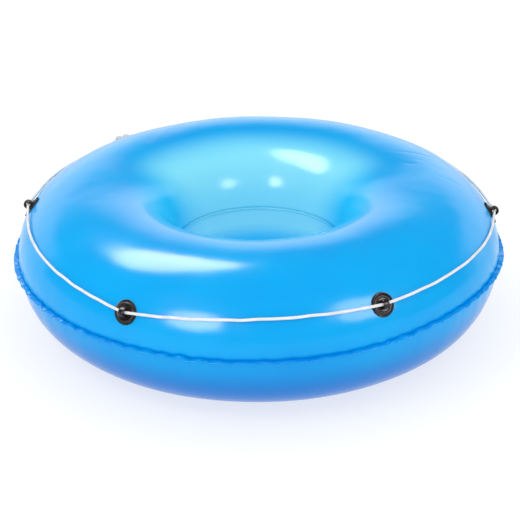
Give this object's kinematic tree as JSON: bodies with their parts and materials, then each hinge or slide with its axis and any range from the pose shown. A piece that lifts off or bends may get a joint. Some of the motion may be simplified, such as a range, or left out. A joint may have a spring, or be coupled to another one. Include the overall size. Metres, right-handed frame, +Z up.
{
  "type": "towable tube",
  "caption": "Round inflatable vinyl tube with a centre hole, moulded rope eyelets round its outer side, an all-round grab rope and a screw valve.",
  "frame": {"origin": "on the floor under the middle of the centre hole", "axes": "+Z up along the tube's axis; the front of the tube faces -Y and the valve is at the back, near +Y"},
  "size_m": [1.07, 1.07, 0.311],
  "materials": {
    "vinyl_blue": "glossy, slightly translucent PVC film",
    "moulded_black": "satin moulded soft PVC",
    "rope_white": "braided polypropylene rope",
    "valve_grey": "satin moulded plastic",
    "seal_rubber": "matte rubber",
    "silicone": "satin silicone rubber"
  },
  "bodies": {
    "root": {"top_sheet": "vinyl_blue", "bottom_sheet": "vinyl_blue", "rope_eyelet_1": "moulded_black", "rope_eyelet_2": "moulded_black", "rope_eyelet_3": "moulded_black", "rope_eyelet_4": "moulded_black", "rope_eyelet_5": "moulded_black", "rope_eyelet_6": "moulded_black", "grab_rope": "rope_white", "grab_rope_knot": "rope_white", "valve_base": "moulded_black"},
    "valve_seal": {"valve_seal": "seal_rubber"},
    "valve_insert": {"valve_insert": "valve_grey"},
    "valve_diaphragm": {"valve_diaphragm": "silicone"},
    "cap_liner": {"cap_liner": "seal_rubber"},
    "valve_cap": {"valve_cap": "moulded_black"}
  },
  "joints": [
    {"name": "insert_lift", "type": "slide", "parent": "root", "child": "valve_seal", "axis": [0.0169, 0.9661, 0.2575], "range_m": [0, 0.01]},
    {"name": "insert_unscrew", "type": "hinge", "parent": "valve_seal", "child": "valve_insert", "pos_m": [0.00908, 0.52011, 0.2], "axis": [0.0169, 0.9661, 0.2575], "range_deg": [0, 900]},
    {"name": "diaphragm_lift", "type": "slide", "parent": "valve_insert", "child": "valve_diaphragm", "axis": [-0.0169, -0.9661, -0.2575], "range_m": [0, 0.002], "stiffness_N_per_m": 20},
    {"name": "cap_lift", "type": "slide", "parent": "valve_seal", "child": "cap_liner", "axis": [0.0169, 0.9661, 0.2575], "range_m": [0, 0.005]},
    {"name": "cap_unscrew", "type": "hinge", "parent": "cap_liner", "child": "valve_cap", "pos_m": [0.00908, 0.52011, 0.2], "axis": [0.0169, 0.9661, 0.2575], "range_deg": [0, 450]}
  ],
  "couplings": [
    {"joint": "insert_lift", "follows": "insert_unscrew", "m_per_rad": 0.000636},
    {"joint": "cap_lift", "follows": "cap_unscrew", "m_per_rad": 0.000636}
  ]
}
